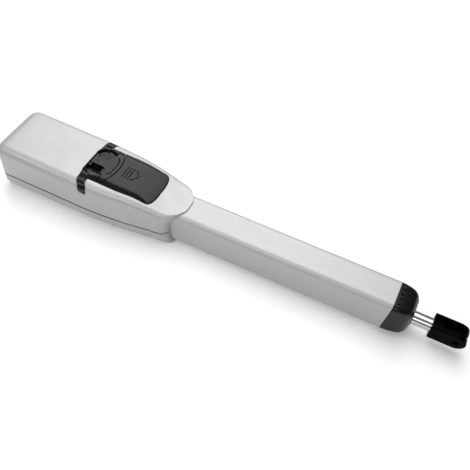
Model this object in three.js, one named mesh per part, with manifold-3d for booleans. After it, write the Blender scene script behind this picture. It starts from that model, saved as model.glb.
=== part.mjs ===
// Linear screw actuator for a swing gate: motor housing, release unit, square tube, rod and fork.
// Millimetres, +X towards the fork, +Y to the left seen from behind, +Z up. Inside this file X is
// counted from the rear wall, and Z from the middle of the tube; the group is moved at the end.
import * as THREE from "three";
import { mergeVertices } from "three/addons/utils/BufferGeometryUtils.js";
import Module from "manifold-3d";

const wasm = await Module();
wasm.setup();

// ---- driving dimensions -------------------------------------------------------------------
const GAP = 0.3; // air between two pieces that touch
const LENGTH = 775; // rear wall to fork tip, rod pulled in
const BASE_Z = -36; // underside of the housing
const AXIS_Z = -6; // height of the screw, rod and fork

const HOUSING = { half: 54.4, end: 310.7, wall: 3.2, seam: -5, seamGap: 2, planR: 22, rearR: 22 };
const TOP = { height: 49.9, at: 100, slope: 0.0285 }; // the lid falls gently towards the tube
const NOSE = { from: 150, full: 281, narrow: 12.6, round: 31, drop: 9.5, dropFrom: 250 };
const SWEEP = { from: 230, up: 18.5, down: 8, upSpan: 38, downFrom: -14, downSpan: 20 };

const TUBE = { start: 240, end: 659.2, rake: 0.095, halfW: 26.7, halfH: 32.4, radius: 9, wall: 3 };
const CAP = { length: 34, footHalf: 11 };
const ROD = { r: 10.5, bore: 7.2, start: 322.3, solidFrom: 702, end: 736.5, pinX: 714, pinTilt: 2.5 };
const NUT = { start: 296, length: 26, halfW: 22.5, low: -28, high: 16 };
const FORK = { start: 722, hub: 738, halfW: 13.5, halfH: 14.3, slot: 4.5, holeR: 5 };
const FORK_HOLE_X = LENGTH - FORK.halfH;
const SCREW = { r: 6.5, stubR: 5, squareSide: 10, journalR: 8, tip: 646 };

const MOTOR = { y: 24, z: AXIS_Z + 18, r: 25, wall: 2.7, start: 66, end: 138 };
const GEAR = { module: 1.25, wheel: 36, pinion: 12, start: 168, width: 14 };
const CLUTCH = { face: 188, tooth: 5, r: 13.5, grooveR: 10, length: 15 };

const UNIT = { x: 152, half: 37.2, topHalf: 28, height: 5.5, arcX: 52.5, arcR: 66, end: 128.5 };
const LEVER = { hingeX: 7, hingeZ: 1.5, knuckle: 4, spine: 8, plateX: 34.5, camDrop: 14, camR: 3 };
const LOCK = { x: 61, r: 7.5, sleeve: 10.5, deep: 9.5 };
const STRAP = { thick: 2.2, sink: 0.4, bottom: 30 };
const FRAME_CORNER = { along: 20, inward: 15 };

// ---- materials ----------------------------------------------------------------------------
const material = (color, roughness, metalness) =>
  new THREE.MeshStandardMaterial({ color, roughness, metalness });
const SILVER = material(0xc9c9cc, 0.38, 0.6);
const ANODISED = material(0xc4c4c8, 0.34, 0.8);
const BLACK = material(0x1b1b1c, 0.45, 0);
const RUBBER = material(0x121212, 0.8, 0);
const CHROME = material(0xdadcde, 0.12, 1);
const STEEL = material(0x8d9094, 0.35, 0.9);
const ZINC = material(0xa9adb0, 0.45, 0.8);
const BRONZE = material(0xa9793f, 0.4, 0.8);
const COPPER = material(0xb06a3c, 0.4, 0.8);
const BOARD = material(0x1f5a35, 0.6, 0);
const GREY_PLASTIC = material(0x6f7377, 0.5, 0);

// ---- solids -------------------------------------------------------------------------------
function solid(geometry) {
  const bare = new THREE.BufferGeometry();
  bare.setAttribute("position", geometry.getAttribute("position"));
  if (geometry.index) bare.setIndex(geometry.index);
  const merged = mergeVertices(bare, 1e-4);
  return new wasm.Manifold(
    new wasm.Mesh({
      numProp: 3,
      vertProperties: new Float32Array(merged.getAttribute("position").array),
      triVerts: new Uint32Array(merged.index.array),
    }),
  );
}

function geometryOf(shape) {
  const mesh = shape.getMesh();
  const geometry = new THREE.BufferGeometry();
  geometry.setAttribute("position", new THREE.BufferAttribute(mesh.vertProperties, 3));
  geometry.setIndex(new THREE.BufferAttribute(mesh.triVerts, 1));
  const flat = geometry.toNonIndexed();
  flat.computeVertexNormals();
  return flat;
}

const box = (x0, x1, y0, y1, z0, z1) =>
  solid(
    new THREE.BoxGeometry(x1 - x0, y1 - y0, z1 - z0).translate(
      (x0 + x1) / 2,
      (y0 + y1) / 2,
      (z0 + z1) / 2,
    ),
  );

const cylX = (x0, x1, r, y = 0, z = AXIS_Z, sides = 24) =>
  solid(
    new THREE.CylinderGeometry(r, r, x1 - x0, sides)
      .rotateZ(-Math.PI / 2)
      .translate((x0 + x1) / 2, y, z),
  );

const cylY = (y0, y1, r, x, z, sides = 24) =>
  solid(new THREE.CylinderGeometry(r, r, y1 - y0, sides).translate(x, (y0 + y1) / 2, z));

const cylZ = (z0, z1, r, x, y, sides = 24) =>
  solid(
    new THREE.CylinderGeometry(r, r, z1 - z0, sides)
      .rotateX(Math.PI / 2)
      .translate(x, y, (z0 + z1) / 2),
  );

const ringX = (x0, x1, outer, inner, y = 0, z = AXIS_Z, sides = 24) =>
  cylX(x0, x1, outer, y, z, sides).subtract(cylX(x0 - 1, x1 + 1, inner, y, z, sides));

const ALONG_X = new THREE.Matrix4().makeBasis(
  new THREE.Vector3(0, 1, 0),
  new THREE.Vector3(0, 0, 1),
  new THREE.Vector3(1, 0, 0),
);
const ALONG_Y = new THREE.Matrix4().makeBasis(
  new THREE.Vector3(1, 0, 0),
  new THREE.Vector3(0, 0, 1),
  new THREE.Vector3(0, -1, 0),
);

const extrude = (shape, depth, steps = 1, curveSegments = 4) =>
  new THREE.ExtrudeGeometry(shape, { depth, steps, curveSegments, bevelEnabled: false });

const prismX = (shape, x0, x1) =>
  solid(extrude(shape, x1 - x0).applyMatrix4(ALONG_X).translate(x0, 0, 0));

const prismY = (shape, half) =>
  solid(extrude(shape, 2 * half).applyMatrix4(ALONG_Y).translate(0, half, 0));

const prismZ = (shape, z0, z1) => solid(extrude(shape, z1 - z0).translate(0, 0, z0));

function polygon(points) {
  const shape = new THREE.Shape();
  points.forEach(([u, v], i) => (i ? shape.lineTo(u, v) : shape.moveTo(u, v)));
  shape.closePath();
  return shape;
}

function roundedRect(halfU, lowV, highV, radius) {
  const shape = new THREE.Shape();
  const quarter = Math.PI / 2;
  shape.moveTo(-halfU + radius, lowV);
  shape.absarc(halfU - radius, lowV + radius, radius, -quarter, 0);
  shape.absarc(halfU - radius, highV - radius, radius, 0, quarter);
  shape.absarc(-halfU + radius, highV - radius, radius, quarter, 2 * quarter);
  shape.absarc(-halfU + radius, lowV + radius, radius, 2 * quarter, 3 * quarter);
  return shape;
}

// An extrusion along X whose every point is moved: place(t, u, v) takes the share of the length
// and the section's own coordinates, and gives the point's x, y and z.
function loft(shape, steps, place) {
  const geometry = extrude(shape, 1, steps, 4);
  const position = geometry.getAttribute("position");
  for (let i = 0; i < position.count; i++)
    position.setXYZ(i, ...place(position.getZ(i), position.getX(i), position.getY(i)));
  return solid(geometry);
}

// ---- outline of the motor housing -----------------------------------------------------------
const clamp01 = (t) => Math.min(1, Math.max(0, t));
const smooth = (t) => clamp01(t) ** 2 * (3 - 2 * clamp01(t));
const roundOff = (distance, radius) => {
  const short = radius - Math.min(radius, Math.max(0, distance));
  return radius - Math.sqrt(radius ** 2 - short ** 2);
};

const topPlane = (x) => TOP.height - TOP.slope * (x - TOP.at);

// The housing narrows towards the tube and ends in half an ellipse.
function halfWidth(x) {
  const taper = NOSE.narrow * clamp01((x - NOSE.from) / (NOSE.full - NOSE.from)) ** 2;
  const rear = roundOff(x, HOUSING.planR);
  const tip = Math.min(0.996, clamp01((x - HOUSING.end) / NOSE.round + 1));
  return (HOUSING.half - taper - rear) * Math.sqrt(1 - tip ** 2);
}

function topHeight(x) {
  const span = HOUSING.end - NOSE.dropFrom;
  const drop = NOSE.drop * clamp01((x - NOSE.dropFrom) / span) ** 2.2;
  return topPlane(x) - roundOff(x, HOUSING.rearR) - drop;
}

// The nose runs further forward above and below than at the sides of the tube.
function swept(x, z) {
  const ramp = smooth((x - SWEEP.from) / (HOUSING.end - SWEEP.from));
  const up = SWEEP.up * (Math.max(0, z - HOUSING.seam) / SWEEP.upSpan) ** 2;
  const down = SWEEP.down * (Math.max(0, SWEEP.downFrom - z) / SWEEP.downSpan) ** 2;
  return x + ramp * (up + down);
}

// Stations lie closer together at the two rounded ends.
const station = (t, start, end) => start + (end - start) * (t - Math.sin(2 * Math.PI * t) / 8);

function housingTop(inset, low, start = inset, end = HOUSING.end - inset) {
  const tall = TOP.height - low;
  const half = HOUSING.half;
  return loft(roundedTop(half, tall), inset > 0 ? 10 : 20, (t, u, v) => {
    const x = station(t, start, end);
    const y = (u / half) * (halfWidth(x) - inset);
    const z = low + (v / tall) * (topHeight(x) - inset - low);
    return [swept(x, z), y, z];
  });
}

function roundedTop(half, tall) {
  const shape = new THREE.Shape();
  shape.moveTo(-half, 0);
  shape.lineTo(half, 0);
  shape.absarc(half - 14, tall - 14, 14, 0, Math.PI / 2);
  shape.absarc(-half + 14, tall - 14, 14, Math.PI / 2, Math.PI);
  return shape;
}

function housingBottom(inset, high, start = inset, end = HOUSING.end - inset) {
  const deep = high - BASE_Z;
  const half = HOUSING.half;
  const shape = new THREE.Shape();
  shape.moveTo(half, 0);
  shape.lineTo(-half, 0);
  shape.absarc(-half + 18, -deep + 18, 18, Math.PI, 1.5 * Math.PI);
  shape.absarc(half - 18, -deep + 18, 18, 1.5 * Math.PI, 2 * Math.PI);
  return loft(shape, inset > 0 ? 10 : 20, (t, u, v) => {
    const x = station(t, start, end);
    const floor = BASE_Z + inset + roundOff(x, 16) + roundOff(HOUSING.end - x, 8);
    const y = (u / half) * (halfWidth(x) - inset);
    const z = high + (v / deep) * (high - floor);
    return [swept(x, z), y, z];
  });
}

const tubeBlock = (grow, x0, x1) =>
  prismX(
    roundedRect(TUBE.halfW + grow, -TUBE.halfH - grow, TUBE.halfH + grow, TUBE.radius + grow),
    x0,
    x1,
  );

// ---- release unit frame: its own X runs along the sloping lid -------------------------------
const TILT = Math.atan(TOP.slope);
const unitMatrix = new THREE.Matrix4()
  .makeRotationY(TILT)
  .setPosition(UNIT.x, 0, topPlane(UNIT.x));
const onLid = (shape) => solid(geometryOf(shape).applyMatrix4(unitMatrix));

// Trapezoid hump that the lever and the sliding cover share, cut by a vertical outline.
function hump(outline, low, high) {
  const side = polygon([
    [-UNIT.half, low],
    [UNIT.half, low],
    [UNIT.half, 0.5],
    [UNIT.topHalf, UNIT.height],
    [-UNIT.topHalf, UNIT.height],
    [-UNIT.half, 0.5],
  ]);
  return prismX(side, -1, UNIT.end + 1).intersect(prismZ(outline, low, high));
}

function arcOutline(xRear, half, xArc) {
  const reach = Math.asin(half / UNIT.arcR);
  const shape = new THREE.Shape();
  shape.moveTo(xRear, -half);
  shape.lineTo(xArc - UNIT.arcR * (1 - Math.cos(reach)), -half);
  shape.absarc(xArc - UNIT.arcR, 0, UNIT.arcR, -reach, reach);
  shape.lineTo(xRear, half);
  return shape;
}

// The release frame's own outline: as above, with its two rear corners swept back.
function frameOutline(grow, xArc) {
  const half = UNIT.half + grow;
  const reach = Math.asin(half / UNIT.arcR);
  const { along, inward } = FRAME_CORNER;
  const shape = new THREE.Shape();
  shape.moveTo(-grow, half - inward);
  shape.lineTo(-grow, inward - half);
  shape.quadraticCurveTo(4 - grow, 3 - half, along - grow, -half);
  shape.lineTo(xArc - UNIT.arcR * (1 - Math.cos(reach)), -half);
  shape.absarc(xArc - UNIT.arcR, 0, UNIT.arcR, -reach, reach);
  shape.lineTo(along - grow, half);
  shape.quadraticCurveTo(4 - grow, half - 3, -grow, half - inward);
  return shape;
}

// ---- pieces that do not move ------------------------------------------------------------------
const seamLow = HOUSING.seam - HOUSING.seamGap / 2;
const seamHigh = HOUSING.seam + HOUSING.seamGap / 2;
const SCREW_PLACES = [
  [26, 36],
  [26, -36],
  [214, 43],
  [214, -43],
];
const POST_R = 5.5;

const strapZone = (grow) =>
  prismY(
    polygon([
      [155 - grow, 56],
      [155 - grow, 49],
      [161 - grow, 43],
      [163 - grow, STRAP.bottom - grow],
      [174 + grow, STRAP.bottom - grow],
      [173.5 + grow, 43],
      [168 + grow, 49],
      [168 + grow, 56],
    ]),
    60,
  );

function strap(outer, inner, grow) {
  const skin = housingTop(outer, 10).subtract(housingTop(inner, 9, 100, 220));
  return skin.intersect(strapZone(grow)).subtract(box(140, 190, -31, 31, 0, 60));
}

const GUIDE = { x0: 72.5, x1: 88 };

function upperCover() {
  let cover = housingTop(0, seamHigh)
    .subtract(housingTop(HOUSING.wall, seamHigh - 3, 3.5, 284))
    .subtract(tubeBlock(GAP, TUBE.start - 2, 340));
  for (const [x, y] of SCREW_PLACES) {
    const post = cylZ(seamHigh, 60, POST_R, x, y, 16).intersect(housingTop(1, seamHigh));
    cover = cover.add(post.subtract(cylZ(seamHigh - 1, 14, 2.2, x, y, 12)));
  }
  const frameHole = prismZ(frameOutline(GAP, UNIT.arcX - 2), -14, 10);
  const guideSlot = box(GUIDE.x0 - 0.5, GUIDE.x1 + 30, -4.5, 4.5, -10, 2);
  const lockHole = cylZ(-14, 4, LOCK.sleeve + GAP, LOCK.x, 0);
  return cover
    .subtract(strap(-1, STRAP.sink + STRAP.thick + GAP, 0.4))
    .subtract(onLid(frameHole))
    .subtract(onLid(guideSlot))
    .subtract(onLid(lockHole));
}

const MOUNT_BLOCK = { x0: 12, x1: 50, half: 20, top: -13, boreX: 31, boreR: 6 };
const GLAND = { x: 84, y: -28, r: 6, head: 9 };

function lowerShell() {
  let shell = housingBottom(0, seamLow)
    .subtract(housingBottom(HOUSING.wall, seamLow + 2, 3.5, 284))
    .subtract(tubeBlock(GAP, TUBE.start - 2, 340));
  for (const [x, y] of SCREW_PLACES) {
    const post = cylZ(BASE_Z + 2, seamLow, POST_R, x, y, 16).intersect(housingBottom(0, seamLow));
    shell = shell.add(post);
    shell = shell.subtract(cylZ(BASE_Z - 1, seamLow + 1, 2.2, x, y, 12));
    shell = shell.subtract(cylZ(BASE_Z - 1, BASE_Z + 8.3, 4.4, x, y, 16));
  }
  const { x0, x1, half } = MOUNT_BLOCK;
  return shell
    .add(cylZ(BASE_Z + 1, -20, 14, GLAND.x, GLAND.y))
    .subtract(cylZ(BASE_Z - 1, -26, 11, GLAND.x, GLAND.y))
    .subtract(cylZ(BASE_Z - 1, -18, GLAND.r + GAP, GLAND.x, GLAND.y))
    .subtract(box(x0 - GAP, x1 + GAP, -half - GAP, half + GAP, BASE_Z - 1, BASE_Z + 8));
}

// Strip of rubber in the seam, open at the front where the tube passes.
function seamGasket() {
  const outline = (inset) => {
    const steps = 40;
    const side = [];
    for (let i = 0; i <= steps; i++) {
      const x = station(i / steps, inset, HOUSING.end - inset);
      side.push([x, halfWidth(x) - inset]);
    }
    return polygon([...side.map(([x, y]) => [x, -y]), ...side.reverse()]);
  };
  const low = seamLow + GAP;
  const high = seamHigh - GAP;
  let gasket = prismZ(outline(1), low, high)
    .subtract(prismZ(outline(3), low - 1, high + 1))
    .subtract(tubeBlock(1, TUBE.start, 340));
  for (const [x, y] of SCREW_PLACES)
    gasket = gasket.subtract(cylZ(low - 1, high + 1, POST_R + GAP, x, y, 16));
  return gasket;
}

function coverScrew(x, y) {
  const head = cylZ(BASE_Z + 4, BASE_Z + 8, 4, x, y, 16);
  const socket = cylZ(BASE_Z + 3, BASE_Z + 6.5, 2, x, y, 6);
  return head.add(cylZ(BASE_Z + 7, 12, 1.9, x, y, 12)).subtract(socket);
}

function mountBlock() {
  const { x0, x1, half, top, boreX, boreR } = MOUNT_BLOCK;
  const body = box(x0, x1, -half, half, BASE_Z, top);
  const lip = box(x0 - 4, x1 + 4, -half - 4, half + 4, BASE_Z + 8 + GAP, top);
  return body.add(lip).subtract(cylZ(BASE_Z - 1, top + 1, boreR + 2 + GAP, boreX, 0));
}

const mountBush = () => {
  const { boreX, boreR, top } = MOUNT_BLOCK;
  const outer = cylZ(BASE_Z + 0.5, top, boreR + 2, boreX, 0);
  return outer.subtract(cylZ(BASE_Z - 1, top + 1, boreR, boreX, 0));
};

function cableGland() {
  const head = cylZ(BASE_Z + 0.8, -26 - GAP, GLAND.head, GLAND.x, GLAND.y, 6);
  const thread = cylZ(-27, -12, GLAND.r, GLAND.x, GLAND.y, 20);
  return head.add(thread).subtract(cylZ(BASE_Z - 1, -11, 4.2, GLAND.x, GLAND.y, 16));
}

const glandNut = () =>
  cylZ(-20 + GAP, -15, 9.5, GLAND.x, GLAND.y, 6).subtract(
    cylZ(-21, -14, GLAND.r + GAP, GLAND.x, GLAND.y, 20),
  );

const motorRing = (x0, x1, outer, inner) => ringX(x0, x1, outer, inner, MOTOR.y, MOTOR.z);
const motorDisc = (x0, x1, r) => cylX(x0, x1, r, MOTOR.y, MOTOR.z);

const BEARING = { outer: 8.5, inner: 4.3 };
const rearBell = () => motorRing(56, MOTOR.start - GAP, MOTOR.r, BEARING.outer + GAP);
const motorCan = () => motorRing(MOTOR.start, MOTOR.end, MOTOR.r, MOTOR.r - MOTOR.wall);

function gearheadCase() {
  return motorDisc(MOTOR.end + GAP, 155.7, 23)
    .subtract(motorDisc(MOTOR.end, 146, BEARING.outer + GAP))
    .subtract(motorDisc(MOTOR.end, 157, 4.4));
}

// Curved permanent magnet lining one half of the can.
function magnet(side) {
  const lining = motorRing(78, 124, MOTOR.r - MOTOR.wall - GAP, 18.4);
  const edge = MOTOR.z + side * 3;
  const far = MOTOR.z + side * 40;
  const half = box(70, 130, MOTOR.y - 40, MOTOR.y + 40, Math.min(edge, far), Math.max(edge, far));
  return lining.intersect(half);
}

function gearPlate() {
  return box(156.2, 162, -40, 47, -12, 31)
    .add(box(156.2, 162, -32, 32, -32, -11))
    .subtract(motorDisc(155, 163, 6))
    .subtract(cylX(155, 163, SCREW.stubR + GAP));
}

function tubeCarrier() {
  const { start, halfW } = TUBE;
  return box(222, start - GAP, -halfW - 4, halfW + 4, -32, 30)
    .add(box(222, start - GAP, -34, 34, -32, 12))
    .subtract(cylX(221, start + 1, 15.3));
}

const screwBearing = () => ringX(224, 237, 15, SCREW.journalR + GAP);

// Leaning plane at the front of the tube: it reaches further forward at the top.
function behindPlane(xMiddle) {
  const far = 60;
  const leaning = polygon([
    [TUBE.start - 10, -far],
    [xMiddle - TUBE.rake * far, -far],
    [xMiddle + TUBE.rake * far, far],
    [TUBE.start - 10, far],
  ]);
  return prismY(leaning, 60);
}

function tube() {
  const { halfW, halfH, radius, wall, start, end } = TUBE;
  const inner = roundedRect(halfW - wall, wall - halfH, halfH - wall, radius - wall);
  let profile = tubeBlock(0, start, end + 20).subtract(prismX(inner, start - 1, end + 30));
  for (const x of CAP_SCREWS) profile = profile.subtract(cylZ(-40, 0, 2.3, x, 0, 12));
  return profile.intersect(behindPlane(end));
}

const CAP_SCREWS = [640, 650];
const capEnd = TUBE.end + TUBE.rake * TUBE.halfH + CAP.length - 3;

function frontCap() {
  const { halfW, halfH, radius, end, wall } = TUBE;
  const start = end - 8;
  const body = loft(roundedRect(halfW, -halfH, halfH, radius), 9, (t, u, v) => {
    const x = start + t * (capEnd - start);
    const run = clamp01((x - end) / (capEnd - end));
    const across = 1 - 0.34 * run ** 1.6 - 0.12 * run ** 8;
    const upright = 1 - 0.12 * run ** 2 - 0.3 * run ** 6;
    return [x, u * across, v * upright];
  });
  const inner = roundedRect(
    halfW - wall - GAP,
    wall + GAP - halfH,
    halfH - wall - GAP,
    radius - wall,
  );
  let cap = body.subtract(behindPlane(end + GAP));
  cap = cap.add(prismX(inner, 634, end + 12));
  const notches = 5;
  for (let i = 0; i < notches; i++) {
    const y = (i - (notches - 1) / 2) * 9;
    cap = cap.subtract(box(end + 6.5, end + 10.5, y - 2.2, y + 2.2, halfH - 2.5, halfH + 2));
  }
  cap = cap.add(box(end - 4, end + 16, -CAP.footHalf, CAP.footHalf, BASE_Z, -halfH + 3)
    .subtract(behindPlane(end + GAP)));
  for (const x of CAP_SCREWS) cap = cap.subtract(cylZ(-40, -16, 2.3, x, 0, 12));
  return cap
    .subtract(cylX(630, capEnd + 5, ROD.r + 0.4))
    .subtract(cylX(662, 684 + GAP, 14 + GAP))
    .subtract(cylX(630, 662.5, 14 + GAP))
    .subtract(cylX(capEnd - 5, capEnd + 5, 13.5 + GAP));
}

const rodBush = () => ringX(662, 684, 14, ROD.r + 0.1, 0, AXIS_Z, 40);

const wiperSeal = () => ringX(capEnd - 5 + GAP, capEnd + 1, 13.5, ROD.r + GAP);

function capScrew(x) {
  const head = cylZ(-TUBE.halfH - 2.2, -TUBE.halfH - GAP, 4, x, 0, 16);
  const socket = cylZ(-TUBE.halfH - 3, -TUBE.halfH - 1.1, 1.6, x, 0, 6);
  return head.add(cylZ(-TUBE.halfH - 1, -20, 1.9, x, 0, 12)).subtract(socket);
}

const terminalBlock = () => {
  let block = box(98, 138, -38, -24, -30, -15);
  for (let i = 0; i < 4; i++) {
    block = block.subtract(cylZ(-19, -14, 2.2, 103 + i * 10, -31, 10));
    block = block.subtract(box(100.5 + i * 10, 105.5 + i * 10, -25.5, -23, -27, -21));
  }
  return block;
};

const encoderBoard = () =>
  box(46.5, 48, MOTOR.y - 16, MOTOR.y + 16, MOTOR.z - 14, MOTOR.z + 14).subtract(
    motorDisc(46, 49, 5),
  );

// ---- moving pieces ------------------------------------------------------------------------
// Toothed outline about its own centre, one tooth pointing along phase.
function gearOutline(teeth, phase) {
  const pitch = (GEAR.module * teeth) / 2;
  const tip = pitch + 0.85 * GEAR.module;
  const root = pitch - 1.35 * GEAR.module;
  const corners = [
    [root, -0.85],
    [tip, -0.35],
    [tip, 0.35],
    [root, 0.85],
  ];
  const points = [];
  for (let i = 0; i < teeth; i++) {
    const middle = phase + (2 * Math.PI * i) / teeth;
    for (const [r, offset] of corners) {
      const angle = middle + offset / r;
      points.push([r * Math.cos(angle), r * Math.sin(angle)]);
    }
  }
  return polygon(points);
}

const MESH_ANGLE = Math.atan2(MOTOR.z - AXIS_Z, MOTOR.y);
const gearEnd = GEAR.start + GEAR.width;
const wheelBlank = prismX(gearOutline(GEAR.wheel, MESH_ANGLE), GEAR.start, gearEnd);

const clutchTeeth = (x0, x1, slack) => {
  const half = 2.5 + slack;
  const bars = box(x0, x1, -20, 20, -half, half).add(box(x0, x1, -half, half, -20, 20));
  return bars.translate([0, 0, AXIS_Z]);
};

function mainGear() {
  const hub = cylX(gearEnd - 1, CLUTCH.face, 12);
  return wheelBlank
    .translate([0, 0, AXIS_Z])
    .add(hub)
    .subtract(clutchTeeth(CLUTCH.face - CLUTCH.tooth - GAP, CLUTCH.face + 1, GAP))
    .subtract(cylX(GEAR.start - 1, CLUTCH.face + 1, 7.6));
}

function drivePinion() {
  const phase = MESH_ANGLE + Math.PI + Math.PI / GEAR.pinion;
  const teeth = prismX(gearOutline(GEAR.pinion, phase), GEAR.start, gearEnd + 2);
  return teeth.translate([0, MOTOR.y, MOTOR.z]).add(motorDisc(146.5, GEAR.start + 1, 4));
}

function gearBush() {
  return ringX(GEAR.start, CLUTCH.face - 0.5, 7.3, SCREW.stubR + GAP);
}

function clutchDog() {
  const end = CLUTCH.face + CLUTCH.length;
  const teeth = cylX(CLUTCH.face - CLUTCH.tooth, CLUTCH.face + 1, 11.6)
    .subtract(cylX(CLUTCH.face - CLUTCH.tooth - 1, CLUTCH.face + 1, 8))
    .intersect(clutchTeeth(CLUTCH.face - CLUTCH.tooth - 1, CLUTCH.face + 2, 0));
  const half = SCREW.squareSide / 2 + GAP;
  return cylX(CLUTCH.face + GAP, end, CLUTCH.r)
    .subtract(ringX(CLUTCH.face + 4, CLUTCH.face + 10, 20, CLUTCH.grooveR))
    .add(teeth)
    .subtract(box(CLUTCH.face - 8, end + 1, -half, half, AXIS_Z - half, AXIS_Z + half));
}

function leadScrew() {
  const half = SCREW.squareSide / 2;
  return cylX(157, 190, SCREW.stubR)
    .add(box(189, 222, -half, half, AXIS_Z - half, AXIS_Z + half))
    .add(cylX(221, 238, SCREW.journalR))
    .add(cylX(TUBE.start + 1, TUBE.start + 6, 12))
    .add(cylX(237, SCREW.tip, SCREW.r, 0, AXIS_Z, 24));
}

const rotorCore = () => {
  let core = motorRing(80, 122, 17.6, 4 + GAP);
  const slots = 8;
  for (let i = 0; i < slots; i++) {
    const angle = (2 * Math.PI * i) / slots;
    const y = MOTOR.y + 15.5 * Math.cos(angle);
    const z = MOTOR.z + 15.5 * Math.sin(angle);
    core = core.subtract(cylX(79, 123, 1.6, y, z, 8));
  }
  return core;
};

const motorShaft = () => motorDisc(44, 145.5, 4);
const commutator = () => motorRing(66.5, 76, 9, 4 + GAP);
const encoderDisc = () => motorRing(50, 52, 13, 4 + GAP);
const motorBearing = (x0) => motorRing(x0, x0 + 6, BEARING.outer, BEARING.inner);

function driveNut() {
  const { start, length, halfW, low, high } = NUT;
  return prismX(roundedRect(halfW, low, high, 5), start, start + length).subtract(
    cylX(start - 1, start + length + 1, SCREW.r + 0.4),
  );
}

// Blind hole from the surface of the rod towards its axis, up and to the side.
function rodPinAt(from, to, r) {
  const pin = new THREE.CylinderGeometry(r, r, to - from, 12).translate(0, (from + to) / 2, 0);
  return solid(pin.rotateX(ROD.pinTilt).translate(ROD.pinX, 0, AXIS_Z));
}

function rodTube() {
  const profile = [
    [0, ROD.solidFrom],
    [ROD.bore, ROD.solidFrom - 4],
    [ROD.bore, ROD.start],
    [ROD.r, ROD.start],
    [ROD.r, ROD.end - 1],
    [ROD.r - 1, ROD.end],
    [0, ROD.end],
  ].map(([r, x]) => new THREE.Vector2(r, x));
  const turned = new THREE.LatheGeometry(profile, 40)
    .rotateZ(-Math.PI / 2)
    .translate(0, 0, AXIS_Z);
  return solid(turned).subtract(rodPinAt(6, 14, 1.8));
}

function fork() {
  const { start, hub, halfW, halfH, slot, holeR } = FORK;
  const side = new THREE.Shape();
  side.moveTo(start, AXIS_Z - halfH);
  side.lineTo(FORK_HOLE_X, AXIS_Z - halfH);
  side.absarc(FORK_HOLE_X, AXIS_Z, halfH, -Math.PI / 2, Math.PI / 2);
  side.lineTo(start, AXIS_Z + halfH);
  return solid(
    extrude(side, 2 * halfW, 1, 16).applyMatrix4(ALONG_Y).translate(0, halfW, 0),
  )
    .subtract(cylX(start - 1, hub - 1, ROD.r + GAP, 0, AXIS_Z, 40))
    .subtract(box(hub, LENGTH + 1, -slot, slot, AXIS_Z - 20, AXIS_Z + 20))
    .subtract(box(start - 1, hub + 1, -slot, slot, AXIS_Z + halfH - 1.6, AXIS_Z + 20))
    .subtract(box(start - 1, hub + 1, -slot, slot, AXIS_Z - 20, AXIS_Z - halfH + 1.6))
    .subtract(cylY(-20, 20, holeR, FORK_HOLE_X, AXIS_Z));
}

// Lower frame of the release unit: a tray let into the lid, scooped out for two fingers.
const SCOOP = { x0: 12.2, x1: LEVER.plateX, inner: LEVER.spine + GAP, outer: 31, floor: -5, skirt: -8 };

function releaseFrame() {
  const tray = hump(frameOutline(0, UNIT.arcX - 2.5), SCOOP.skirt, UNIT.height);
  const { hingeX, hingeZ, knuckle, plateX, spine } = LEVER;
  let frame = tray
    .subtract(box(plateX - GAP, 60, -50, 50, 0, 20))
    .subtract(box(-2, plateX, -spine - GAP, spine + GAP, 0, 20))
    .subtract(cylY(-spine - GAP, spine + GAP, knuckle + GAP, hingeX, hingeZ))
    .subtract(box(-2, 2.7, -50, 50, 2.5, 20))
    .subtract(box(hingeX - 4.3, 24, -3.5, 3.5, -12, 4));
  for (const side of [-1, 1]) {
    const scoop = polygon([
      [side * SCOOP.inner, SCOOP.floor],
      [side * SCOOP.outer, -1],
      [side * (SCOOP.outer + 3), 20],
      [side * SCOOP.inner, 20],
    ]);
    frame = frame
      .subtract(prismX(scoop, SCOOP.x0, SCOOP.x1))
      .subtract(box(4, SCOOP.x0 + 1, ...[side * 12.5, side * 31].sort((a, b) => a - b), 1, 20));
  }
  frame = frame.subtract(cylY(-14, 14, 1.5 + GAP, hingeX, hingeZ, 16));
  return onLid(frame).add(strap(STRAP.sink, STRAP.sink + STRAP.thick, 0));
}

const leverPin = () => onLid(cylY(-12, 12, 1.5, LEVER.hingeX, LEVER.hingeZ, 16));

function releaseLever() {
  const { hingeX, hingeZ, knuckle, spine, plateX, camDrop, camR } = LEVER;
  const plate = hump(arcOutline(plateX, UNIT.half - 1, UNIT.arcX - GAP), GAP, UNIT.height);
  const bar = box(hingeX, plateX + 1, -spine, spine, GAP, UNIT.height);
  const leg = box(hingeX - 2, hingeX + 2, -2.5, 2.5, hingeZ - camDrop, hingeZ);
  const stem = cylY(-2.5, 2.5, camR, hingeX, hingeZ - camDrop, 20);
  return plate
    .add(bar)
    .add(cylY(-spine, spine, knuckle, hingeX, hingeZ))
    .add(leg)
    .add(stem)
    .subtract(cylY(-14, 14, 1.5 + GAP, hingeX, hingeZ, 16))
    .subtract(box(hingeX - 8, hingeX - 2.5, -3.5, 3.5, -10, -1));
}

function slideOutline() {
  const { arcX, arcR, half, end } = UNIT;
  const reach = Math.asin(half / arcR);
  const shape = new THREE.Shape();
  const corner = 10;
  shape.moveTo(arcX - arcR + arcR * Math.cos(reach), -half);
  shape.lineTo(100, -half);
  shape.lineTo(end - corner, -half + 5);
  shape.quadraticCurveTo(end, -half + 8, end, -half + 17);
  shape.lineTo(end, half - 17);
  shape.quadraticCurveTo(end, half - 8, end - corner, half - 5);
  shape.lineTo(100, half);
  shape.lineTo(arcX - arcR + arcR * Math.cos(reach), half);
  shape.absarc(arcX - arcR, 0, arcR, reach, -reach, true);
  return shape;
}

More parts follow.
